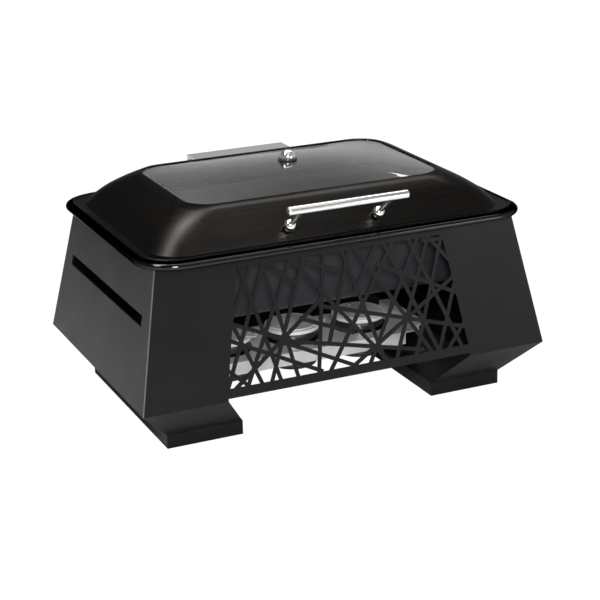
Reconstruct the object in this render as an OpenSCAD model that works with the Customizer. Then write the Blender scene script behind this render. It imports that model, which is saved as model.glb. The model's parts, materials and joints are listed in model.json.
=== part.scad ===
// Rectangular chafing dish: a folded steel stand with a crossing-bar grille,
// a fuel shelf with three burners, a water pan, a food pan and a hinged lid
// with a glass window. Millimetres, +Z up, origin on the table under the
// middle of the whole with its handle, +X along its length, -Y towards the handle.

/* [Stand] */
// Length of the stand across its widest fold
stand_w = 672; // [640:1:720]
// Depth of the stand across its widest fold
stand_d = 452; // [448:1:480]
// Length of the stand across its top edges
stand_top_w = 586; // [580:1:594]
// Depth of the stand across its top edges
stand_top_d = 376; // [368:1:388]
// Height of the widest fold above the table
fold_z = 79; // [70:1:90]
// Height of the top edges above the table
stand_h = 296.5; // [280:0.5:320]
// Thickness of the stand's steel sheet
sheet = 2; // [1.5:0.1:3]
// Length of the footprint on the table
foot_w = 568; // [540:1:600]
// Depth of the footprint on the table
foot_d = 350; // [330:1:380]
// Height of the upright lip at the bottom of each foot
lip_h = 22; // [16:1:30]
// Width of the turned-in flange under each foot
foot_flange = 12; // [8:1:18]
// Half the gap between the feet, at the table
foot_gap = 162; // [140:1:180]
// Half the gap between the feet, at the widest fold
foot_gap_fold = 203; // [196:1:210]
// Gap between sheets where their welded edges meet
weld_gap = 0.1; // [0.05:0.05:0.3]
// Height of the long panels' cut edge above the widest fold
panel_edge = 4; // [2:1:8]

/* [Grille and handle slots] */
// Half width of the grille opening along its bottom edge
grille_half_w = 202; // [190:1:206]
// Half width of the grille opening along its top edge
grille_half_top = 170; // [160:1:180]
// Height of the grille opening's bottom edge above the widest fold
grille_low = 18; // [14:1:26]
// Distance of the grille opening's top edge below the stand's top edges
grille_drop = 24.5; // [18:0.5:48]
// Width of one grille bar
bar_w = 6; // [4:0.5:8]
// Length of the handle slot in each end panel
slot_l = 336; // [250:2:350]
// Height of the handle slot
slot_h = 16.5; // [10:0.5:25]
// Distance of the slot's middle below the stand's top edges
slot_drop = 92; // [60:0.5:120]

/* [Water pan] */
// Overhang of the pan's rolled rim beyond the stand's top edges at each end
rim_over_x = 24; // [20:0.5:30]
// Overhang of the pan's rolled rim beyond the stand's top edges at each side
rim_over_y = 30.5; // [26:0.5:34]
// Corner radius of the rolled rim
pan_rim_r = 63; // [55:1:70]
// Radius of the rolled bead
pan_bead_r = 5; // [4:0.5:6]
// Room between the food pan's body and the water pan's
pan_room = 7; // [5:0.5:10]
// Depth of the pan body below its flange
pan_deep = 122; // [100:1:130]
// Thickness of the pan's steel
pan_t = 1.2; // [1:0.1:2]
// Gap between the pan body and the frame it drops through
pan_fit = 3; // [1:0.5:6]
// Width of the frame's folded-down lip
frame_lip = 12; // [8:1:20]
// Gap that a loose piece keeps from its seat
seat = 0.3; // [0.2:0.05:0.5]

/* [Food pan] */
// Length over the food pan's rim
food_w = 530; // [524:1:536]
// Depth over the food pan's rim
food_d = 325; // [320:1:332]
// Width of the food pan's rim
food_rim = 14; // [11:1:18]
// Corner radius of the food pan's rim
food_r = 58; // [50:1:66]
// Depth of the food pan
food_deep = 65; // [40:5:90]

/* [Lid] */
// Distance of the lid's flange inside the pan's rolled rim at each end
lid_in_x = 10.5; // [8:0.5:14]
// Distance of the lid's flange inside the pan's rolled rim at each side
lid_in_y = 13.5; // [11:0.5:17]
// Corner radius of the lid's flange
lid_r = 54; // [48:1:60]
// Width of the flange outside the lid's wall along its ends
lid_flange_x = 17; // [14:1:22]
// Width of the flange outside the lid's wall along its sides
lid_flange_y = 14; // [11:1:18]
// Rise of the lid's wall from its flange to the window
lid_rise = 53; // [45:1:60]
// How round the wall is: 0 leans back evenly, 1 starts upright and bends all the way
lid_curve = 0.6; // [0.2:0.05:1]
// Thickness of the lid's steel
lid_t = 1.5; // [1.2:0.1:2.5]
// Length of the window
glass_w = 420; // [390:1:430]
// Depth of the window
glass_d = 256; // [240:1:270]
// Corner radius of the window
glass_r = 42; // [35:1:50]
// Thickness of the glass
glass_t = 4; // [3:0.5:6]
// Rise of the domed glass from its edge to its middle
glass_crown = 17.5; // [10:0.5:22]
// Depth of the glass's edge below the rim of the lid's opening
glass_sink = 1.5; // [0:0.5:3]
// Width of the ledge that carries the glass
glass_ledge = 7; // [5:1:10]
// Diameter of the vent cap in the middle of the glass
vent_d = 25; // [18:1:32]
// Diameter of the stud under the vent cap
vent_stud_d = 6; // [5:1:8]

/* [Handle] */
// Length of the handle bar
handle_l = 195; // [160:1:240]
// Diameter of the handle bar
handle_bar_d = 13; // [10:0.5:16]
// Half the distance between the handle's posts
handle_post_x = 73; // [55:1:85]
// Diameter of the handle's posts
handle_post_d = 8; // [6:0.5:10]
// Diameter of the ball at the foot of each post
handle_ball_d = 20; // [16:1:24]
// Distance of the handle bar in front of the lid's flange
handle_reach = 30.5; // [20:0.5:36]
// Height of the handle bar above the pan's rim
handle_rise = 60; // [54:1:66]
// Height above the pan's rim at which the posts are bolted to the lid's wall
handle_foot_rise = 18; // [13:1:22]
// Offset of the handle from the lid's middle, to the right
handle_x = -7.5; // [-8:0.5:8]

/* [Hinge] */
// Distance of the hinge pin inside the pan's rolled rim
hinge_in = 8.5; // [6:0.5:9]
// Height of the hinge pin above the pan's rim
hinge_rise = 27; // [24:1:32]
// Diameter of the hinge pin
hinge_pin_d = 6; // [5:0.5:7]
// Radial clearance of the hinge pin in its bores
hinge_play = 0.05; // [0.02:0.01:0.1]
// Half the length of the hinge housing
hinge_half = 86; // [70:1:100]
// Height of the housing's top above the pan's rim
hinge_top_rise = 41; // [39:1:46]
// Height above the pan's rim at which the hinge is screwed to the lid's wall
hinge_foot_rise = 15; // [13:1:18]
// Thickness of the hinge's sheet
hinge_t = 2; // [1.5:0.1:2.5]
// Half the distance between the hinge screws in the lid
hinge_screw_x = 70; // [50:1:78]

/* [Burners] */
// Distance of the fuel shelf's top face below the widest fold
shelf_drop = 6; // [3:1:13]
// Depth of the fuel shelf
shelf_d = 140; // [120:2:180]
// Height of the shelf's folded lips
shelf_lip = 21; // [12:1:26]
// Distance between neighbouring burners
burner_pitch = 120; // [116:1:124]
// Outer diameter of a fuel cup
cup_d = 82; // [76:1:88]
// Height of a fuel cup
cup_h = 66; // [56:1:76]
// Depth of the cup hanging below the shelf
cup_drop = 45; // [35:1:50]
// Wall of a fuel cup
cup_t = 1.5; // [1:0.1:2]
// Width of the collar that the cup hangs by
cup_collar = 5; // [3:0.5:7]
// Gap between the cup and the hole in the shelf
cup_fit = 0.6; // [0.4:0.1:1.5]
// Diameter of the flame opening in the cup's cover
flame_d = 50; // [40:1:56]
// Distance of the sliding damper's edge inside the cup's outer face
damper_in = 1; // [0:0.5:4]
// Diameter of the damper's pivot
damper_pin_d = 4; // [3:0.5:6]
// Radial clearance of the damper on its pivot
damper_play = 0.05; // [0.02:0.01:0.1]

/* [Hidden] */

far = 1000;
smooth = 64;

grille_z0 = fold_z + grille_low;
grille_z1 = stand_h - grille_drop;
slot_z = stand_h - slot_drop;

// ---- Folded sheet ----

function unit(v) = v / norm(v);
function left_of(v) = [-v.y, v.x];
function side_of(path, i) = left_of(unit(path[i + 1] - path[i]));
function inset_point(path, i, t) =
    i == 0 ? path[0] + t * side_of(path, 0) :
    i == len(path) - 1 ? path[i] + t * side_of(path, i - 1) :
    let (a = side_of(path, i - 1), b = side_of(path, i)) path[i] + t * (a + b) / (1 + a * b);
// A path moved to its left by t, with mitred corners
function inset_path(path, t) = [for (i = [0:len(path) - 1]) inset_point(path, i, t)];
function reversed(list) = [for (i = [len(list) - 1:-1:0]) list[i]];
function mirrored(path) = [for (p = path) [-p.x, p.y]];
// Closed outline of a sheet of thickness t folded along a path
function folded(path, t) = concat(path, reversed(inset_path(path, t)));
// Closed outline that is symmetric about the upright axis, from its left half
function both_sides(path) = concat(path, reversed(mirrored(path)));

// Outer profiles of the stand's walls, from the top edge down to the foot's flange,
// as distance from the middle (negative: to the left or front) and height
function wall_path(top, fold, foot) = [
    [-top / 2, stand_h], [-fold / 2, fold_z], [-foot / 2, lip_h],
    [-foot / 2, 0], [-foot / 2 + foot_flange, 0]];
end_path = wall_path(stand_top_w, stand_w, foot_w);
long_path = wall_path(stand_top_d, stand_d, foot_d);
foot_plate_path = [
    [-foot_gap_fold, fold_z], [-foot_gap, lip_h], [-foot_gap, 0],
    [-foot_gap - foot_flange, 0]];

// Moves a piece from the stand's middle to where the middle of the whole is the origin
module placed() {
    front = max(lid_d / 2 + handle_reach + handle_bar_d / 2, stand_d / 2);
    back = max(hinge_back, stand_d / 2);
    translate([0, (front - back) / 2, 0]) children();
}

module extrude_x(length) {
    rotate([90, 0, 90])
        linear_extrude(length, center = true)
            children();
}

module extrude_y(length) {
    rotate([90, 0, 0])
        linear_extrude(length, center = true)
            children();
}

// Where each end of a crossing bar meets the opening, in per cent of the opening's
// lower half width and of its height: [across, up, across, up]
through_bars = [
    [-100, 0, -63, 100], [-84, 0, -42, 100], [-65, 0, -31, 100], [-58, 0, -82, 100],
    [-44, 0, -64, 100], [-27, 0, -15, 100], [-17, 0, 42, 100], [2, 0, 146, 100],
    [16, 0, 63, 100], [28, 0, 0, 100], [38, 0, 72, 100], [55, 0, 84, 100],
    [68, 0, 11, 100], [74, 0, 35, 100], [75, 0, 105, 100], [94, 0, 56, 100],
    [-73, 0, -108, 100], [-118, 0, -73, 100], [83, 0, 155, 100]];
short_bars = [
    [-93, 0, -20, 62], [30, 0, -21, 70], [-91, 53, -53, 34], [-93, 39, -25, 1],
    [-53, 32, 60, 3], [-53, 31, 3, 0], [-37, 48, 3, 29], [-21, 56, 99, 16],
    [-61, 100, -39, 79], [-42, 100, -22, 74], [-30, 96, -3, 83], [28, 100, 9, 66],
    [72, 100, 92, 73], [68, 98, 88, 96], [29, 83, 94, 47], [-97, 14, -84, 0],
    [6, 100, -16, 25]];

grille_h = grille_z1 - grille_z0;
function grille_point(across, up) =
    [across / 100 * grille_half_w, grille_z0 + up / 100 * grille_h];

module bar(b) {
    from = grille_point(b[0], b[1]);
    to = grille_point(b[2], b[3]);
    run = to - from;
    translate(from)
        rotate(atan2(run.y, run.x))
            translate([-bar_w / 2, -bar_w / 2])
                square([norm(run) + bar_w, bar_w]);
}

module grille_outline() {
    polygon(both_sides([[-grille_half_w, grille_z0], [-grille_half_top, grille_z1]]));
}

// The openings between the bars, as seen from the front
module grille_holes() {
    difference() {
        grille_outline();
        for (b = concat(through_bars, short_bars))
            bar(b);
    }
}

// Long panel with or without a gap between its feet, as seen from the front
module long_panel_outline(gap) {
    side = [
        [-stand_top_w / 2, stand_h + 1], [-stand_top_w / 2, stand_h], [-stand_w / 2, fold_z],
        [-foot_w / 2, lip_h], [-foot_w / 2, -1]];
    feet = [
        [-foot_gap, -1], [-foot_gap, lip_h], [-foot_gap_fold, fold_z],
        [-foot_gap_fold, fold_z + panel_edge]];
    polygon(both_sides(gap ? concat(side, feet) : side));
}

module long_panel(gap) {
    color("#242424")
        difference() {
            intersection() {
                extrude_x(stand_w + 2) polygon(folded(long_path, sheet));
                extrude_y(stand_d + 2) long_panel_outline(gap);
            }
            intersection() {
                translate([0, -stand_d / 2, 0]) extrude_y(stand_d / 2) grille_holes();
                translate([0, 0, fold_z + sheet]) linear_extrude(far)
                    square([stand_w, stand_d], center = true);
            }
        }
}

module front_panel() {
    placed() long_panel(true);
}

module back_panel() {
    placed() rotate([0, 0, 180]) long_panel(false);
}

// Space between the long panels, as seen from an end, less the weld gap
module between_long_panels() {
    inner = inset_path(long_path, sheet + weld_gap);
    flange_top = sheet + weld_gap;
    tip = -foot_d / 2 + foot_flange + weld_gap;
    polygon(both_sides([
        [inner[0].x, stand_h + 1], inner[0], inner[1], inner[2], [inner[2].x, flange_top],
        [tip, flange_top], [tip, -1]]));
}

module end_panel() {
    color("#2b2b2b")
        difference() {
            intersection() {
                extrude_y(stand_d) polygon(folded(end_path, sheet));
                extrude_x(stand_w + 2) between_long_panels();
            }
            translate([-stand_w / 2, 0, slot_z])
                cube([stand_w / 2, slot_l, slot_h], center = true);
        }
}

module left_panel() {
    placed() end_panel();
}

module right_panel() {
    placed() rotate([0, 0, 180]) end_panel();
}

// Plate that closes the inner side of the two left feet, folded the other way
module foot_plate() {
    color("#1e1e1e")
        intersection() {
            extrude_y(stand_d) polygon(folded(foot_plate_path, -sheet));
            extrude_x(stand_w) between_long_panels();
        }
}

module left_foot_plate() {
    placed() foot_plate();
}

module right_foot_plate() {
    placed() rotate([0, 0, 180]) foot_plate();
}

// ---- Rounded rectangles ----

module rounded(w, d, r) {
    square([w - 2 * r, d], center = true);
    square([w, d - 2 * r], center = true);
    for (x = [-1, 1], y = [-1, 1])
        translate([x * (w / 2 - r), y * (d / 2 - r)]) circle(r, $fn = smooth);
}

// Flat plate between two rounded rectangles, its underside at the origin
module ring_plate(w, d, r, in_w, in_d, in_r, t) {
    linear_extrude(t)
        difference() {
            rounded(w, d, r);
            rounded(in_w, in_d, in_r);
        }
}

// Sweeps a profile round a rounded rectangle; its x points outwards from the line
module sweep_round(w, d, r) {
    for (side = [0:3]) {
        reach = (side % 2 == 0 ? w : d) / 2;
        run = (side % 2 == 0 ? d : w) - 2 * r;
        rotate([0, 0, 90 * side])
            translate([reach, 0, 0])
                extrude_y(run) children();
    }
    for (corner = [0:3]) {
        x = corner == 0 || corner == 3 ? 1 : -1;
        y = corner < 2 ? 1 : -1;
        translate([x * (w / 2 - r), y * (d / 2 - r), 0])
            rotate([0, 0, 90 * corner])
                rotate_extrude(angle = 90, $fn = smooth)
                    translate([r, 0]) children();
    }
}

// ---- Support frame and water pan ----

pan_rim_w = stand_top_w + 2 * rim_over_x;
pan_rim_d = stand_top_d + 2 * rim_over_y;
pan_seat = stand_h + seat;
pan_top = pan_seat + pan_t;
pan_z0 = pan_top - pan_deep;
pan_corner = 18;
pan_w = food_w - 2 * food_rim + 2 * pan_room;
pan_d = food_d - 2 * food_rim + 2 * pan_room;
pan_r = food_r - food_rim + pan_room + 4;

module pan_frame() {
    hole_w = pan_w + 2 * pan_fit;
    hole_d = pan_d + 2 * pan_fit;
    hole_r = pan_r + pan_fit;
    slack = 2 * (sheet + seat);
    placed() color("#1c1c1c") {
        translate([0, 0, stand_h - sheet])
            linear_extrude(sheet)
                difference() {
                    square([stand_top_w - slack, stand_top_d - slack], center = true);
                    rounded(hole_w, hole_d, hole_r);
                }
        translate([0, 0, stand_h - frame_lip])
            ring_plate(hole_w + 2 * sheet, hole_d + 2 * sheet, hole_r + sheet,
                hole_w, hole_d, hole_r, frame_lip);
    }
}

// Wall of a pressed pan with a rounded bottom corner; the outer face lies at x = 0
module pressed_wall(t, corner, z0, z1) {
    translate([-t, z0 + corner]) square([t, z1 - z0 - corner]);
    translate([-corner, z0 + corner])
        intersection() {
            difference() {
                circle(corner, $fn = smooth);
                circle(corner - t, $fn = smooth);
            }
            translate([0, -corner]) square(corner);
        }
}

module pressed_pan(w, d, r, t, corner, z0, z1) {
    sweep_round(w, d, r) pressed_wall(t, corner, z0, z1);
    translate([0, 0, z0])
        linear_extrude(t)
            rounded(w - 2 * corner, d - 2 * corner, r - corner);
}

module water_pan() {
    bead = 2 * pan_bead_r;
    placed() color("#101012") {
        pressed_pan(pan_w, pan_d, pan_r, pan_t, pan_corner, pan_z0, pan_top);
        translate([0, 0, pan_seat])
            ring_plate(pan_rim_w - bead, pan_rim_d - bead, pan_rim_r - pan_bead_r,
                pan_w - pan_t, pan_d - pan_t, pan_r - pan_t / 2, pan_t);
        sweep_round(pan_rim_w - bead, pan_rim_d - bead, pan_rim_r - pan_bead_r)
            translate([0, pan_top - pan_bead_r]) circle(pan_bead_r, $fn = smooth);
    }
}

food_seat = pan_top + seat;
food_corner = 14;

module food_pan() {
    body_w = food_w - 2 * food_rim;
    body_d = food_d - 2 * food_rim;
    body_r = food_r - food_rim;
    placed() color("#c8c8c6") {
        pressed_pan(body_w, body_d, body_r, pan_t, food_corner,
            food_seat + pan_t - food_deep, food_seat + pan_t);
        translate([0, 0, food_seat])
            ring_plate(food_w, food_d, food_r, body_w - pan_t, body_d - pan_t,
                body_r - pan_t / 2, pan_t);
    }
}

// ---- Lid ----

lid_w = pan_rim_w - 2 * lid_in_x;
lid_d = pan_rim_d - 2 * lid_in_y;
lid_z0 = pan_top + seat;
lid_base_w = lid_w - 2 * lid_flange_x;
lid_base_d = lid_d - 2 * lid_flange_y;
lid_base_r = lid_r + 4;
lid_base_z = lid_z0 + lid_t;
lid_top_z = lid_base_z + lid_rise;
lid_edge = 2.5;
land = 5;
glass_gap = 0.5;
gasket_t = 1;

// The wall's outer face, from its foot (s = 0) to the window (s = 1)
function wall_in(s) = mix(s, s * s, lid_curve);
wall_top_w = glass_w + 2 * land;
wall_top_d = glass_d + 2 * land;
wall_top_r = glass_r + land;
function mix(a, b, k) = a + (b - a) * k;
// One level of the wall, as [length, depth, corner radius, height]
function wall_level(s) = [
    mix(lid_base_w, wall_top_w, wall_in(s)), mix(lid_base_d, wall_top_d, wall_in(s)),
    mix(lid_base_r, wall_top_r, wall_in(s)), lid_base_z + lid_rise * s];
// The front wall's distance from the middle at a height, and its outward slope there
function wall_y(z) =
    mix(lid_base_d, wall_top_d, wall_in((z - lid_base_z) / lid_rise)) / 2;
function wall_tilt(z) =
    let (step = 1) atan((wall_y(z) - wall_y(z + step)) / step);
function shrunk(level, by, down) = [
    level[0] - 2 * by, level[1] - 2 * by, level[2] - by, level[3] - down];

corner_steps = 10;
// Points round one level, counter-clockwise seen from above
function level_points(level) = [
    for (corner = [0:3], i = [0:corner_steps])
        let (
            w = level[0], d = level[1], r = level[2],
            x = corner == 0 || corner == 3 ? 1 : -1,
            y = corner < 2 ? 1 : -1,
            a = 90 * (corner + i / corner_steps))
        [x * (w / 2 - r) + r * cos(a), y * (d / 2 - r) + r * sin(a), level[3]]];

// Closed skin through a loop of rings of points that starts and ends side by side
module ring_loop(rings) {
    n = len(rings[0]);
    m = len(rings);
    polyhedron(
        points = [for (ring = rings) each ring],
        faces = [
            for (j = [0:m - 1], i = [0:n - 1])
                let (
                    k = (j + 1) % m, h = (i + 1) % n,
                    a = j * n + i, b = j * n + h, c = k * n + h, d = k * n + i)
                each [[a, c, b], [a, d, c]]]);
}

module level_loop(levels) {
    ring_loop([for (level = levels) level_points(level)]);
}

wall_steps = 9;
wall_run = (lid_base_w - wall_top_w + lid_base_d - wall_top_d) / 4;
// The wall's lean away from upright, halfway between its ends and its sides
function wall_lean(s) = atan(wall_run / lid_rise * mix(1, 2 * s, lid_curve));
ledge_z = lid_top_z - glass_t - gasket_t - glass_sink;

module lid_skin() {
    flange = [lid_w, lid_d, lid_r, lid_z0];
    rabbet = [glass_w + 2 * glass_gap, glass_d + 2 * glass_gap, glass_r + glass_gap, lid_top_z];
    bore = shrunk(rabbet, glass_ledge + glass_gap, lid_top_z - ledge_z);
    foot = [lid_base_w + 4, lid_base_d + 4, lid_base_r + 2, lid_base_z];
    level_loop(concat(
        [flange, shrunk(flange, 0, -lid_edge), shrunk(flange, 1, -lid_edge - 0.6),
            shrunk(flange, 2.5, -lid_edge), shrunk(flange, 3, -lid_t), foot],
        [for (i = [1:wall_steps]) wall_level(i / wall_steps)],
        [rabbet, shrunk(rabbet, 0, lid_top_z - ledge_z), bore, shrunk(bore, 0, lid_t)],
        [for (i = [wall_steps - 1:-1:1])
            let (lean = wall_lean(i / wall_steps))
            shrunk(wall_level(i / wall_steps), lid_t * cos(lean), lid_t * sin(lean))],
        [shrunk(foot, 2 + lid_t, 0.3), shrunk(foot, 2 + lid_t, lid_t)]));
}

handle_foot_z = pan_top + handle_foot_rise;
handle_tilt = wall_tilt(handle_foot_z);
hinge_foot_z = pan_top + hinge_foot_rise;
hinge_tilt = wall_tilt(hinge_foot_z);
stud_d = 5;
hinge_screw_d = 4;
// Length of the cuts that take the studs and screws through the sheet
through = 12;

// Puts its children on the lid's front wall at the handle's height, +Z outwards
module on_front_wall(x) {
    translate([x, -wall_y(handle_foot_z), handle_foot_z])
        rotate([90 - handle_tilt, 0, 0])
            children();
}

// Puts its children on the lid's back wall at the hinge screws, +Z outwards
module on_back_wall(x) {
    translate([x, wall_y(hinge_foot_z), hinge_foot_z])
        rotate([hinge_tilt - 90, 0, 0])
            children();
}

module lid_shell() {
    placed() color("#2a2826")
        difference() {
            lid_skin();
            for (x = [-1, 1]) {
                on_front_wall(handle_x + x * handle_post_x)
                    cylinder(h = through, d = stud_d + 0.4, center = true, $fn = 24);
                on_back_wall(x * hinge_screw_x)
                    cylinder(h = through, d = hinge_screw_d + 0.4, center = true, $fn = 24);
            }
        }
}

module glass_gasket() {
    w = glass_w - 2 * glass_gap;
    d = glass_d - 2 * glass_gap;
    width = glass_ledge - 1;
    placed() color("#0c0c0c")
        translate([0, 0, ledge_z])
            ring_plate(w, d, glass_r - glass_gap, w - 2 * width, d - 2 * width,
                glass_r - glass_gap - width, gasket_t);
}

glass_z0 = ledge_z + gasket_t + 0.1;
glass_steps = 8;
side_steps = 8;
stud_hole = vent_stud_d / 2 + 0.3;
// A ring with more points along its four straight sides
function with_side_points(ring) = [
    for (i = [0:len(ring) - 1])
        let (p = ring[i], q = ring[(i + 1) % len(ring)])
        each (i % (corner_steps + 1) == corner_steps
            ? [for (k = [0:side_steps - 1]) p + (q - p) * k / side_steps]
            : [p])];
glass_edge = with_side_points(level_points([glass_w, glass_d, glass_r, 0]));
// Height of the domed glass over its edge; what is left at the corners fades inwards
function swell(p) =
    glass_crown * (1 - pow(2 * p.x / glass_w, 2)) * (1 - pow(2 * p.y / glass_d, 2));
// Ring of points on the glass, k being 1 at its edge and 0 at the hole
function glass_ring(k, lift) =
    let (ring = with_side_points(level_points([
        mix(2 * stud_hole, glass_w, k), mix(2 * stud_hole, glass_d, k),
        mix(stud_hole, glass_r, k), 0])))
    [for (i = [0:len(ring) - 1])
        [ring[i].x, ring[i].y,
            glass_z0 + lift + swell(ring[i]) - swell(glass_edge[i]) * pow(k, 4)]];

module lid_glass() {
    ks = [for (i = [0:glass_steps]) 1 - i / glass_steps];
    placed() color([0.75, 0.8, 0.8, 0.35])
        ring_loop(concat(
            [for (k = ks) glass_ring(k, glass_t)],
            [for (k = reversed(ks)) glass_ring(k, 0)]));
}

glass_top = glass_z0 + glass_crown + glass_t;
washer_d = vent_d + 5;
washer_t = 1.5;

module vent_washer() {
    placed() color("#0c0c0c")
        translate([0, 0, glass_top + 0.1])
            difference() {
                cylinder(h = washer_t, d = washer_d, $fn = smooth);
                translate([0, 0, -1])
                    cylinder(h = washer_t + 2, d = vent_stud_d + 0.6, $fn = smooth);
            }
}

vent_nut_t = 5;
vent_nut_d = 13;
stud_down = glass_t + washer_t + vent_nut_t + 3;

// Ball with a flat foot on the washer, and the stud that holds it down
module vent_cap() {
    z = glass_top + washer_t + 0.2;
    flat = 0.4 * vent_d;
    placed() color("#d8d8d6") {
        translate([0, 0, z])
            intersection() {
                translate([0, 0, vent_d / 2 - flat]) sphere(d = vent_d, $fn = smooth);
                translate([0, 0, vent_d / 2]) cube(vent_d, center = true);
            }
        translate([0, 0, z - stud_down])
            cylinder(h = stud_down + 1, d = vent_stud_d, $fn = smooth);
    }
}

module vent_nut() {
    placed() color("#c0c0be")
        translate([0, 0, glass_top - glass_t - vent_nut_t - 0.1])
            difference() {
                cylinder(h = vent_nut_t, d = vent_nut_d, $fn = 6);
                translate([0, 0, -1])
                    cylinder(h = vent_nut_t + 2, d = vent_stud_d + 0.1, $fn = smooth);
            }
}

// ---- Handle ----

ball_out = handle_ball_d / 2 - 2;
ball_at = [
    -wall_y(handle_foot_z) - ball_out * cos(handle_tilt),
    handle_foot_z + ball_out * sin(handle_tilt)];
bar_at = [-lid_d / 2 - handle_reach, pan_top + handle_rise];
post_run = bar_at - ball_at;
post_lean = atan2(-post_run.x, post_run.y);
post_l = norm(post_run);
end_round = 3;

module handle_bar() {
    r = handle_bar_d / 2;
    inner = handle_l / 2 - end_round;
    placed() color("#e2e2df")
        translate([handle_x, bar_at.x, bar_at.y])
            rotate([0, 90, 0])
                rotate_extrude($fn = smooth) {
                    translate([0, -inner]) square([r, 2 * inner]);
                    translate([0, -inner - end_round])
                        square([r - end_round, 2 * (inner + end_round)]);
                    for (y = [-inner, inner])
                        translate([r - end_round, y]) circle(end_round, $fn = smooth);
                }
}

module handle_posts() {
    placed() color("#dadad7")
        for (x = [-1, 1])
            difference() {
                translate([handle_x + x * handle_post_x, ball_at.x, ball_at.y])
                    rotate([post_lean, 0, 0])
                        cylinder(h = post_l, d = handle_post_d, $fn = smooth);
                translate([handle_x + x * handle_post_x, ball_at.x, ball_at.y])
                    sphere(d = handle_ball_d + 0.1, $fn = smooth);
                translate([handle_x, bar_at.x, bar_at.y])
                    rotate([0, 90, 0])
                        cylinder(h = handle_l, d = handle_bar_d + 0.1, center = true, $fn = smooth);
            }
}

ball_gap = 0.6;
stud_in = 9;
nut_d = 10;
nut_t = 4;

// Balls cut flat where they stand on the lid's wall, with the studs that go through it
module handle_balls() {
    placed() color("#e2e2df")
        for (x = [-1, 1])
            on_front_wall(handle_x + x * handle_post_x) {
                intersection() {
                    translate([0, 0, ball_out]) sphere(d = handle_ball_d, $fn = smooth);
                    translate([0, 0, handle_ball_d / 2 + ball_gap])
                        cube(handle_ball_d, center = true);
                }
                translate([0, 0, -stud_in])
                    cylinder(h = stud_in + ball_gap + 2, d = stud_d, $fn = smooth);
            }
}

module handle_nuts() {
    placed() color("#c8c8c6")
        for (x = [-1, 1])
            on_front_wall(handle_x + x * handle_post_x)
                translate([0, 0, -lid_t - nut_t - 1])
                    difference() {
                        cylinder(h = nut_t, d = nut_d, $fn = 6);
                        translate([0, 0, -1])
                            cylinder(h = nut_t + 2, d = stud_d + 0.1, $fn = smooth);
                    }
}

// ---- Hinge ----

hinge_y = pan_rim_d / 2 - hinge_in;
hinge_z = pan_top + hinge_rise;
hinge_top = pan_top + hinge_top_rise;
ear_r = 8;
hinge_back = hinge_y + ear_r + 3;
ear_x = hinge_half + 1;
bracket_y0 = lid_d / 2 + 1;
bracket_y1 = pan_rim_d / 2 + 2.3;
pin_bore = hinge_pin_d + 2 * hinge_play;

module hinge_pin() {
    head = 3;
    reach = ear_x + hinge_t + 1;
    placed() color("#dadad7")
        translate([0, hinge_y, hinge_z])
            rotate([0, 90, 0]) {
                cylinder(h = 2 * reach, d = hinge_pin_d, center = true, $fn = smooth);
                for (z = [-1, 1])
                    translate([0, 0, z * (reach + head / 2)])
                        cylinder(h = head, d = hinge_pin_d + 5, center = true, $fn = smooth);
            }
}

// Sheet hooked over the pan's rim, with an ear at each end for the pin
module hinge_bracket() {
    base_z = pan_top + 0.1;
    placed() color("#c4c4c2") {
        difference() {
            union() {
                translate([-ear_x - hinge_t, bracket_y0, base_z])
                    cube([2 * (ear_x + hinge_t), bracket_y1 - bracket_y0, hinge_t]);
                translate([-ear_x - hinge_t, bracket_y1 - hinge_t, base_z - 10])
                    cube([2 * (ear_x + hinge_t), hinge_t, 10 + hinge_t]);
            }
            for (x = [-1, 1])
                translate([x * hinge_screw_x, bracket_y0 + 4, base_z - 1])
                    cylinder(h = hinge_t + 2, d = 3.6, $fn = smooth);
        }
        for (x = [-1, 1])
            translate([x * (ear_x + hinge_t / 2), 0, 0])
                extrude_x(hinge_t)
                    difference() {
                        union() {
                            translate([bracket_y0, base_z])
                                square([bracket_y1 - bracket_y0, hinge_z - base_z]);
                            translate([hinge_y, hinge_z]) circle(ear_r, $fn = smooth);
                        }
                        translate([hinge_y, hinge_z]) circle(d = pin_bore, $fn = smooth);
                        translate([hinge_y + ear_r, hinge_z - ear_r]) square(2 * ear_r);
                    }
    }
}

module bracket_screws() {
    z = pan_top + 0.1 + hinge_t + 0.1;
    placed() color("#b8b8b6")
        for (x = [-1, 1])
            translate([x * hinge_screw_x, bracket_y0 + 4, 0]) {
                translate([0, 0, z]) cylinder(h = 2, d = 6.5, $fn = smooth);
                translate([0, 0, pan_top + 0.1]) cylinder(h = z - pan_top, d = 3.2, $fn = smooth);
            }
}

// Channel fixed to the lid's back wall; it covers the pin and turns on it
module hinge_housing() {
    pad_y = wall_y(hinge_foot_z) + 0.3 / cos(hinge_tilt);
    lean = tan(hinge_tilt);
    pad_z0 = hinge_foot_z - 7;
    pad_z1 = hinge_foot_z + 7;
    outer = [
        [pad_y + 7 * lean, pad_z0], [pad_y - 7 * lean, pad_z1],
        [pad_y - 7 * lean + 6, hinge_top], [hinge_back, hinge_top],
        [hinge_back, hinge_z - 9]];
    end_outline = [
        outer[1], outer[2], outer[3], outer[4], [hinge_y - 9, hinge_z - 9]];
    placed() color("#d2d2d0")
        difference() {
            union() {
                extrude_x(2 * hinge_half)
                    polygon(concat(outer, reversed(inset_path(outer, -hinge_t))));
                for (x = [-1, 1])
                    translate([x * (hinge_half - hinge_t / 2), 0, 0])
                        extrude_x(hinge_t) polygon(end_outline);
            }
            translate([0, hinge_y, hinge_z])
                rotate([0, 90, 0])
                    cylinder(h = 2 * hinge_half + 2, d = pin_bore, center = true, $fn = smooth);
            for (x = [-1, 1])
                on_back_wall(x * hinge_screw_x)
                    cylinder(h = through, d = hinge_screw_d + 0.4, center = true, $fn = smooth);
        }
}

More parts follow.
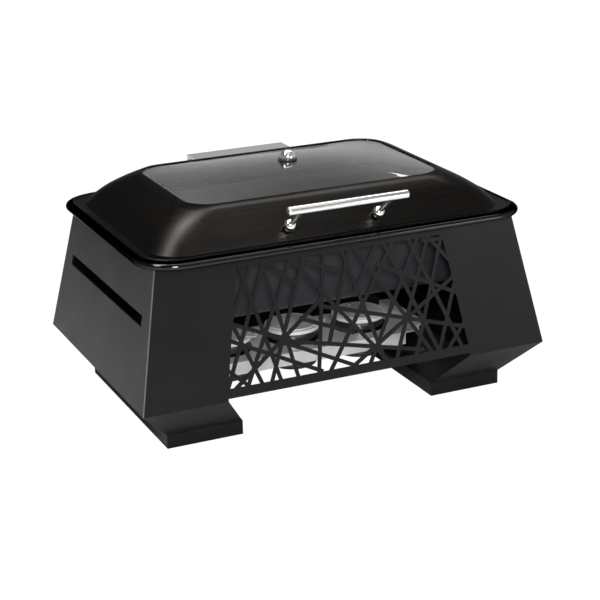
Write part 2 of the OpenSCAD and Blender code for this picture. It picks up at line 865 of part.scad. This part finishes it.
module hinge_screws() {
    placed() color("#b8b8b6")
        for (x = [-1, 1])
            on_back_wall(x * hinge_screw_x) {
                translate([0, 0, -lid_t - 2.6]) cylinder(h = 2, d = 8, $fn = smooth);
                translate([0, 0, -lid_t - 1]) cylinder(h = 8, d = hinge_screw_d, $fn = smooth);
                translate([0, 0, 2.6]) cylinder(h = 3, d = 7, $fn = 6);
            }
}

// ---- Burners ----

hook_gap = 6.5;
hook_l = 16;
shelf_z = fold_z - shelf_drop;
shelf_half = foot_gap_fold - hook_gap;
hook_z = fold_z + 0.2;
shelf_lip_half = foot_gap + 10;

module fuel_shelf() {
    top = [
        [-shelf_half - hook_l, hook_z], [-shelf_half, hook_z],
        [-shelf_half, shelf_z - sheet], [0, shelf_z - sheet]];
    placed() color("#bdbdb8")
        difference() {
            union() {
                extrude_y(shelf_d) polygon(concat(
                    both_sides(top), mirrored(inset_path(top, sheet)),
                    reversed(inset_path(top, sheet))));
                for (y = [-1, 1])
                    translate([0, y * (shelf_d - sheet) / 2, shelf_z - shelf_lip / 2])
                        cube([2 * shelf_lip_half, sheet, shelf_lip], center = true);
            }
            for (i = [-1:1])
                translate([i * burner_pitch, 0, shelf_z - sheet - 1])
                    cylinder(h = sheet + 2, d = cup_d + 2 * cup_fit, $fn = smooth);
        }
}

cup_z0 = shelf_z - cup_drop;
cup_top = cup_z0 + cup_h;
cup_corner = 7;
cover_d = cup_d + 7;
cover_t = 1.5;
lift = 0.1;
damper_gap = 0.3;
damper_d = cup_d - 2 * damper_in;
damper_z = cup_top + lift + cover_t + damper_gap;
damper_rim = 2;
damper_turn = -35;
tab_l = 16;
tab_w = 12;
tab_up = 10;
pivot_head_d = damper_pin_d + 3;
pivot_head_t = 1.4;
pivot_r = (damper_d - pivot_head_d) / 2 - damper_rim - 0.5;

module fuel_cup(i) {
    r = cup_d / 2;
    placed() color("#a8a8a4")
        translate([i * burner_pitch, 0, 0])
            rotate_extrude($fn = smooth) {
                translate([r, 0]) pressed_wall(cup_t, cup_corner, cup_z0, cup_top);
                translate([0, cup_z0]) square([r - cup_corner, cup_t]);
                translate([r - cup_t, shelf_z + 0.2]) square([cup_t + cup_collar, cup_t]);
            }
}

module cup_cover(i) {
    z = cup_top + lift;
    placed() color("#c6c6c2")
        translate([i * burner_pitch, 0, 0])
            difference() {
                rotate_extrude($fn = smooth) {
                    translate([flame_d / 2, z]) square([(cover_d - flame_d) / 2, cover_t]);
                    translate([cover_d / 2 - cover_t, z - 4]) square([cover_t, 4]);
                }
                translate([0, pivot_r, z - 1])
                    cylinder(h = cover_t + 2, d = damper_pin_d + 0.2, $fn = smooth);
            }
}

module damper(i) {
    r = damper_d / 2;
    placed() color("#d6d6d2")
        translate([i * burner_pitch, 0, damper_z])
            difference() {
                union() {
                    cylinder(h = cover_t, d = damper_d, $fn = smooth);
                    rotate_extrude($fn = smooth)
                        translate([r - damper_rim, 0]) square([damper_rim, cover_t + 1]);
                    rotate([0, 0, damper_turn]) {
                        translate([r - 1, -tab_w / 2, 0]) cube([tab_l, tab_w, cover_t]);
                        translate([r + tab_l - 1 - cover_t, -tab_w / 2, 0])
                            cube([cover_t, tab_w, tab_up]);
                    }
                }
                translate([0, pivot_r, -1])
                    cylinder(h = cover_t + 3, d = damper_pin_d + 2 * damper_play, $fn = smooth);
            }
}

// Rivet whose lower head lies under the cover and whose upper head lies on the damper
module damper_pivot(i) {
    top = damper_z + cover_t + lift - cup_top;
    placed() color("#b0b0ac")
        translate([i * burner_pitch, pivot_r, cup_top]) {
            translate([0, 0, -pivot_head_t])
                cylinder(h = pivot_head_t, d = pivot_head_d, $fn = smooth);
            translate([0, 0, -pivot_head_t])
                cylinder(h = pivot_head_t + top, d = damper_pin_d, $fn = smooth);
            translate([0, 0, top])
                cylinder(h = pivot_head_t, d = pivot_head_d, $fn = smooth);
        }
}

front_panel();
back_panel();
left_panel();
right_panel();
left_foot_plate();
right_foot_plate();
pan_frame();
fuel_shelf();
fuel_cup(-1);  // left_fuel_cup
cup_cover(-1);  // left_cup_cover
damper(-1);  // left_damper
damper_pivot(-1);  // left_damper_pivot
fuel_cup(0);  // middle_fuel_cup
cup_cover(0);  // middle_cup_cover
damper(0);  // middle_damper
damper_pivot(0);  // middle_damper_pivot
fuel_cup(1);  // right_fuel_cup
cup_cover(1);  // right_cup_cover
damper(1);  // right_damper
damper_pivot(1);  // right_damper_pivot
water_pan();
hinge_bracket();
bracket_screws();
hinge_pin();
food_pan();
lid_shell();
glass_gasket();
lid_glass();
vent_washer();
vent_cap();
vent_nut();
handle_bar();
handle_posts();
handle_balls();
handle_nuts();
hinge_housing();
hinge_screws();
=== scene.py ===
import json
import math

import bpy
from mathutils import Matrix, Vector


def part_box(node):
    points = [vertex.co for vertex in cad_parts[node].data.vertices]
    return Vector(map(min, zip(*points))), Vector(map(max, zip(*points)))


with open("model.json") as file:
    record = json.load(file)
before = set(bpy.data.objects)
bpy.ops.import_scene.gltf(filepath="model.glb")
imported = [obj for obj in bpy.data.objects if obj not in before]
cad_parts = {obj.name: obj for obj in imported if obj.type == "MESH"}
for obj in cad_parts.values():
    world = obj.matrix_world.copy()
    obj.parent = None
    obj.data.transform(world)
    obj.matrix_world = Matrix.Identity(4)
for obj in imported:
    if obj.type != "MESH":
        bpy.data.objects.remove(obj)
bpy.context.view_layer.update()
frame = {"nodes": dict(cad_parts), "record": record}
scene = bpy.context.scene
cad = frame["nodes"]

# The stand's leaning walls, in metres: half sizes at the fold and at the top.
FOLD_HEIGHT = 0.079
WALL_RISE = 0.2175
HALF_WIDTH = 0.336
HALF_TOP_WIDTH = 0.293
HALF_DEPTH = 0.226
HALF_TOP_DEPTH = 0.188

# The pan's finish changes between these heights, under its flange.
RIM_FINISH = (0.275, 0.285)

# Edges flatter than this are shaded round, and sharper ones get a bevel on the sheets.
SHARP_ANGLE = math.radians(30.0)
SHEET_BEVEL = 0.0006
JOIN_DISTANCE = 0.000002

# The floor lies just under the feet.
FLOOR_HALF = 8.0
FLOOR_DROP = 0.0003

# The camera looks down and to the right, from the left front.
CAMERA_TURN = math.radians(-24.0)
CAMERA_HEIGHT = math.radians(19.1)
CAMERA_TILT = math.radians(-1.4)
CAMERA_PLACE = (-1.040, -2.363, 1.031)
CAMERA_LENS = 101.6
CAMERA_SENSOR = 36.0

WHITE = (1.0, 1.0, 1.0, 1.0)


def grey(value):
    return (value, value, value)


# ---- Materials ----


class Nodes:
    """A node tree built step by step."""

    def __init__(self, tree):
        self.tree = tree

    def add(self, kind, values=None, **properties):
        node = self.tree.nodes.new(kind)
        for key, value in properties.items():
            setattr(node, key, value)
        for key, value in (values or {}).items():
            self.put(value, node.inputs[key])
        return node

    def put(self, value, socket):
        if isinstance(value, bpy.types.NodeSocket):
            self.tree.links.new(value, socket)
        else:
            socket.default_value = value

    def split(self, vector):
        return self.add("ShaderNodeSeparateXYZ", {"Vector": vector}).outputs

    def math(self, operation, first, second=0.0):
        return self.add("ShaderNodeMath", {0: first, 1: second}, operation=operation).outputs[0]

    def span(self, value, low, high, start=0.3, end=0.7):
        """From low to high as the value goes from start to end."""
        values = {"Value": value, "From Min": start, "From Max": end, "To Min": low, "To Max": high}
        return self.add("ShaderNodeMapRange", values).outputs["Result"]

    def blend(self, factor, a, b):
        return self.add("ShaderNodeMix", {0: factor, 2: a, 3: b}, data_type="FLOAT").outputs[0]


class Shader(Nodes):
    """A material that ends in one Principled BSDF, placed by object coordinates."""

    def __init__(self, name):
        self.material = bpy.data.materials.new(name)
        self.material.use_nodes = True
        super().__init__(self.material.node_tree)
        self.bsdf = self.tree.nodes["Principled BSDF"]
        self.place = self.add("ShaderNodeTexCoord").outputs["Object"]

    def set(self, **values):
        for key, value in values.items():
            self.put(value, self.bsdf.inputs[key.replace("_", " ")])

    def stretched(self, scale):
        return self.add("ShaderNodeMapping", {"Vector": self.place, "Scale": scale}).outputs["Vector"]

    def noise(self, vector, scale, detail=2.0, roughness=0.5):
        values = {"Vector": vector, "Scale": scale, "Detail": detail, "Roughness": roughness}
        return self.add("ShaderNodeTexNoise", values).outputs["Fac"]

    def tint(self, factor, dark, light):
        """A colour between two, each of them three numbers or a socket."""
        node = self.add("ShaderNodeMix", {0: factor}, data_type="RGBA")
        for colour, socket in ((dark, node.inputs[6]), (light, node.inputs[7])):
            self.put(colour if isinstance(colour, bpy.types.NodeSocket) else (*colour, 1.0), socket)
        return node.outputs[2]

    def bump(self, height, depth, strength=1.0):
        values = {"Height": height, "Distance": depth, "Strength": strength}
        self.put(self.add("ShaderNodeBump", values).outputs["Normal"], self.bsdf.inputs["Normal"])


def powder_coat():
    """Satin black coat, with a painted highlight: a light grey base colour along the stand's four
    leaning corners.
    """
    s = Shader("powder_coat")
    peel = s.noise(s.place, 900.0, 2.0)
    cloud = s.noise(s.place, 14.0, 3.0)
    x, y, z = s.split(s.place)
    middle = (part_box("front_panel")[0][1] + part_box("back_panel")[1][1]) / 2
    over_fold = s.math("SUBTRACT", z, FOLD_HEIGHT)
    lean_x = s.math("MULTIPLY", over_fold, (HALF_WIDTH - HALF_TOP_WIDTH) / WALL_RISE)
    lean_y = s.math("MULTIPLY", over_fold, (HALF_DEPTH - HALF_TOP_DEPTH) / WALL_RISE)
    across = s.math("ADD", s.math("ABSOLUTE", x), lean_x)
    along = s.math("ADD", s.math("ABSOLUTE", s.math("SUBTRACT", y, middle)), lean_y)
    # Mask of the painted highlight along the four leaning corners, where the rounded sheet edges
    # would catch the light.
    corner = s.math(
        "MINIMUM",
        s.span(across, 0.0, 1.0, HALF_WIDTH - 0.0013, HALF_WIDTH - 0.0005),
        s.span(along, 0.0, 1.0, HALF_DEPTH - 0.0035, HALF_DEPTH - 0.0020))
    coat = s.tint(s.span(cloud, 0.0, 1.0), (0.0046, 0.0046, 0.0048), (0.0058, 0.0058, 0.0061))
    s.set(
        # Light grey base colour on the corners: painted highlight.
        Base_Color=s.tint(corner, coat, grey(0.11)),
        Roughness=s.blend(corner, s.span(cloud, 0.34, 0.40), 0.25),
        Specular_IOR_Level=0.15,
    )
    s.bump(peel, 0.00006, 0.5)
    return s.material


def gloss_enamel():
    """Black enamel, mirror-dark on the pan's rolled rim and satin on its body."""
    s = Shader("gloss_enamel")
    cloud = s.noise(s.place, 40.0, 2.0)
    rim = s.span(s.split(s.place)["Z"], 0.0, 1.0, *RIM_FINISH)
    s.set(
        Base_Color=s.tint(rim, (0.020, 0.020, 0.0245), (0.040, 0.040, 0.041)),
        Roughness=s.blend(rim, s.span(cloud, 0.38, 0.46), s.span(cloud, 0.09, 0.13)),
        Metallic=rim,
        Specular_Tint=(*grey(0.3), 1.0),
    )
    s.bump(cloud, 0.00001, 0.2)
    return s.material


def brushed(name, dark, light, rough_low, rough_high, depth, stretch=0.0, edge=1.0):
    """Metal brushed along X, and along Y where it faces the ends."""
    s = Shader(name)
    normal = s.add("ShaderNodeTexCoord").outputs["Normal"]
    to_end = s.span(s.math("ABSOLUTE", s.split(normal)["X"]), 0.0, 1.0, 0.55, 0.75)
    along_x = s.noise(s.stretched((3.0, 260.0, 260.0)), 4.0, 3.0, 0.6)
    along_y = s.noise(s.stretched((260.0, 3.0, 260.0)), 4.0, 3.0, 0.6)
    grain = s.blend(to_end, along_x, along_y)
    cloud = s.noise(s.place, 9.0, 2.0)
    colour = s.span(s.blend(0.35, grain, cloud), 0.0, 1.0, 0.35, 0.65)
    s.set(
        Base_Color=s.tint(colour, dark, light),
        Metallic=1.0,
        Roughness=s.span(grain, rough_low, rough_high),
        Anisotropic=stretch,
        Specular_Tint=(*grey(edge), 1.0),
        Tangent=s.add("ShaderNodeTangent", direction_type="RADIAL", axis="Z").outputs["Tangent"],
    )
    s.bump(grain, depth, 0.6)
    return s.material


def satin_steel(name, dark, light):
    """Dull pressed steel of the burners and their shelf."""
    s = Shader(name)
    cloud = s.noise(s.place, 30.0, 3.0)
    grain = s.noise(s.stretched((6.0, 300.0, 300.0)), 3.0, 3.0)
    s.set(
        Base_Color=s.tint(s.span(cloud, 0.0, 1.0), dark, light),
        Metallic=0.1,
        Roughness=s.span(grain, 0.30, 0.42),
    )
    s.bump(grain, 0.00002, 0.5)
    return s.material


def rubber():
    s = Shader("rubber")
    grain = s.noise(s.place, 500.0, 2.0)
    s.set(
        Base_Color=s.tint(grain, grey(0.006), grey(0.012)),
        Roughness=s.span(grain, 0.5, 0.65),
    )
    return s.material


def window_glass():
    """Lightly smoked clear glass."""
    s = Shader("window_glass")
    film = s.noise(s.place, 25.0, 2.0)
    s.set(
        Base_Color=s.tint(film, (0.46, 0.47, 0.47), (0.50, 0.51, 0.51)),
        Roughness=s.span(film, 0.01, 0.03),
        Transmission_Weight=1.0,
        IOR=1.5,
    )
    return s.material


POWDER = powder_coat()
ENAMEL = gloss_enamel()
DARK = brushed(
    "dark_steel", (0.021, 0.0193, 0.0177), (0.031, 0.0285, 0.026), 0.24, 0.32, 0.00002,
    stretch=0.45, edge=0.5)
STEEL = brushed("steel", (0.50, 0.50, 0.49), (0.62, 0.62, 0.61), 0.26, 0.38, 0.00003)
BRIGHT = brushed("bright_steel", (0.84, 0.84, 0.83), (0.92, 0.92, 0.91), 0.16, 0.24, 0.00001)
POLISHED = brushed(
    "polished_steel", (0.80, 0.80, 0.79), (0.86, 0.86, 0.85), 0.06, 0.10, 0.000004)
# Polished steel darkened for the fuel cups: a painted dark reflection of the stand's black inside.
PAINTED_REFLECTION_STEEL = brushed("painted_reflection_steel", grey(0.10), grey(0.14), 0.08, 0.13, 0.00001, edge=0.6)
SATIN = satin_steel("satin_steel", (0.68, 0.68, 0.67), (0.76, 0.76, 0.75))
# Lighter copy of the satin steel for the cup covers: painted light, since the covers lie in the
# stand's shade.
PAINTED_LIGHT_STEEL = satin_steel("painted_light_steel", (0.90, 0.90, 0.89), (0.95, 0.95, 0.94))
RUBBER = rubber()
GLASS = window_glass()

SLOTS = {
    "black_coat": POWDER,
    "black_gloss": ENAMEL,
    "dark_steel": DARK,
    "steel": SATIN,
    "polished": BRIGHT,
    "seal": RUBBER,
    "window": GLASS,
}

# Nodes whose finish differs from the rest of their slot.
OWN_FINISH = {
    POLISHED: ("vent_cap", "handle_balls", "hinge_pin"),
    # The fuel cups' darkened steel is a painted dark reflection.
    PAINTED_REFLECTION_STEEL: ("left_fuel_cup", "middle_fuel_cup", "right_fuel_cup"),
    # The cup covers' lighter steel is painted light.
    PAINTED_LIGHT_STEEL: ("left_cup_cover", "middle_cup_cover", "right_cup_cover"),
    STEEL: ("food_pan", "bracket_screws", "hinge_screws", "handle_nuts", "vent_nut"),
}


def dress():
    finish = {part["node"]: SLOTS[part["material_slot"]] for part in frame["record"]["subparts"]}
    for material, names in OWN_FINISH.items():
        finish.update(dict.fromkeys(names, material))
    for name, obj in cad.items():
        obj.data.materials.clear()
        obj.data.materials.append(finish[name])


# ---- Edges ----

SHEETS = (
    "front_panel", "back_panel", "left_panel", "right_panel", "left_foot_plate",
    "right_foot_plate")


def smoothing():
    """Geometry nodes that join split corners and keep sharp edges sharp."""
    group = bpy.data.node_groups.new("smoothing", "GeometryNodeTree")
    group.interface.new_socket("Geometry", in_out="INPUT", socket_type="NodeSocketGeometry")
    group.interface.new_socket("Geometry", in_out="OUTPUT", socket_type="NodeSocketGeometry")
    n = Nodes(group)
    start = n.add("NodeGroupInput").outputs[0]
    joined = n.add("GeometryNodeMergeByDistance", {"Geometry": start, "Distance": JOIN_DISTANCE})
    round_faces = n.add(
        "GeometryNodeSetShadeSmooth", {"Geometry": joined.outputs["Geometry"]}, domain="FACE")
    turn = n.add("GeometryNodeInputMeshEdgeAngle").outputs["Unsigned Angle"]
    blunt = n.add(
        "FunctionNodeCompare", {0: turn, 1: SHARP_ANGLE}, data_type="FLOAT", operation="LESS_THAN")
    sharp_edges = n.add(
        "GeometryNodeSetShadeSmooth",
        {"Geometry": round_faces.outputs["Geometry"], "Shade Smooth": blunt.outputs["Result"]},
        domain="EDGE")
    n.add("NodeGroupOutput", {0: sharp_edges.outputs["Geometry"]})
    return group


def smooth(group):
    """Shades every node by edge angle."""
    for obj in cad.values():
        normals = obj.data.attributes.get("custom_normal")
        if normals:
            obj.data.attributes.remove(normals)
        obj.modifiers.new("smoothing", "NODES").node_group = group


def soften():
    """Rounds the sheets' sharp edges with a fine bevel."""
    for name in SHEETS:
        bevel = cad[name].modifiers.new("edges", "BEVEL")
        bevel.width = SHEET_BEVEL
        bevel.segments = 2
        bevel.limit_method = "ANGLE"
        bevel.angle_limit = SHARP_ANGLE


# ---- Stage ----


def floor():
    """A pale floor that the camera sees as white, with the object's shadow."""
    h = FLOOR_HALF
    mesh = bpy.data.meshes.new("floor")
    mesh.from_pydata([(-h, -h, 0), (h, -h, 0), (h, h, 0), (-h, h, 0)], [], [(0, 1, 2, 3)])
    obj = bpy.data.objects.new("floor", mesh)
    obj.location.z = -FLOOR_DROP
    scene.collection.objects.link(obj)
    s = Shader("pale_floor")
    s.set(Base_Color=(*grey(0.86), 1.0), Roughness=0.9)
    white = s.add("ShaderNodeEmission", {"Color": WHITE, "Strength": 1.16})
    share = s.math("MULTIPLY", s.add("ShaderNodeLightPath").outputs["Is Camera Ray"], 0.85)
    mix = s.add("ShaderNodeMixShader", {0: share, 1: s.bsdf.outputs[0], 2: white.outputs[0]})
    s.put(mix.outputs[0], s.tree.nodes["Material Output"].inputs["Surface"])
    mesh.materials.append(s.material)


def sky():
    """White where the camera looks; for all else a soft studio, darker above and to the left."""
    world = bpy.data.worlds.new("studio")
    world.use_nodes = True
    scene.world = world
    n = Nodes(world.node_tree)
    path = n.add("ShaderNodeLightPath").outputs
    unscattered = n.math("LESS_THAN", path["Diffuse Depth"], 0.5)
    through = n.math("MULTIPLY", path["Is Transmission Ray"], unscattered)
    seen = n.math("MAXIMUM", path["Is Camera Ray"], through)
    x, _, z = n.split(n.add("ShaderNodeTexCoord").outputs["Generated"])
    low = n.span(z, 0.64, 0.28, 0.0, 0.7)
    side = n.span(x, 0.48, 1.0, 0.15, 0.5)
    back = n.tree.nodes["Background"]
    n.put(WHITE, back.inputs["Color"])
    n.put(n.blend(seen, n.math("MULTIPLY", low, side), 1.0), back.inputs["Strength"])


def lamp(name, place, target, width, height, power, along=(1.0, 0.0, 0.0)):
    """A softbox at a place, facing a target, its width running along a direction."""
    light = bpy.data.lights.new(name, "AREA")
    light.shape = "RECTANGLE"
    light.size = width
    light.size_y = height
    light.energy = power
    obj = bpy.data.objects.new(name, light)
    back = (Vector(place) - Vector(target)).normalized()
    up = back.cross(Vector(along)).normalized()
    matrix = Matrix((up.cross(back), up, back)).transposed().to_4x4()
    matrix.translation = place
    obj.matrix_world = matrix
    obj.visible_camera = False
    scene.collection.objects.link(obj)


def lamps():
    # The long highlight on the lid's left front corner and rim.
    lamp("strip", (-0.98, 0.10, 2.10), (-0.28, -0.18, 0.30), 2.4, 0.42, 31.0, (1.76, 1.73, 0.4))
    # Soft light on the lid's front, and the lighter band under its window.
    lamp("box", (0.0, -0.4, 1.25), (-0.1, -0.17, 0.30), 0.8, 0.9, 1.6)
    lamp("roof", (0.20, 0.32, 1.30), (-0.08, -0.1, 0.33), 1.3, 0.28, 5.5)
    # Main light on the front wall, and through the grille on the burners.
    lamp("key", (-0.80, -2.30, 1.25), (0.0, 0.0, 0.10), 0.5, 0.5, 55.0)
    lamp("front", (1.75, -2.6, 0.50), (0.1, 0.0, 0.15), 0.8, 0.7, 10.0)
    # The spark at the window's back right corner.
    lamp("glint", (1.32, 1.78, 1.54), (0.1, 0.0, 0.36), 0.06, 0.06, 0.06)


def camera():
    level = math.cos(CAMERA_HEIGHT)
    back = Vector((
        math.sin(CAMERA_TURN) * level, -math.cos(CAMERA_TURN) * level, math.sin(CAMERA_HEIGHT)))
    right = Vector((math.cos(CAMERA_TURN), math.sin(CAMERA_TURN), 0.0))
    up = back.cross(right)
    across = right * math.cos(CAMERA_TILT) + up * math.sin(CAMERA_TILT)
    upright = up * math.cos(CAMERA_TILT) - right * math.sin(CAMERA_TILT)
    data = bpy.data.cameras.new("camera")
    data.lens = CAMERA_LENS
    data.sensor_width = CAMERA_SENSOR
    obj = bpy.data.objects.new("camera", data)
    matrix = Matrix((across, upright, back)).transposed().to_4x4()
    matrix.translation = CAMERA_PLACE
    obj.matrix_world = matrix
    scene.collection.objects.link(obj)
    scene.camera = obj


dress()
floor()
sky()
lamps()
camera()
smooth(smoothing())
soften()

scene.view_settings.view_transform = "Standard"
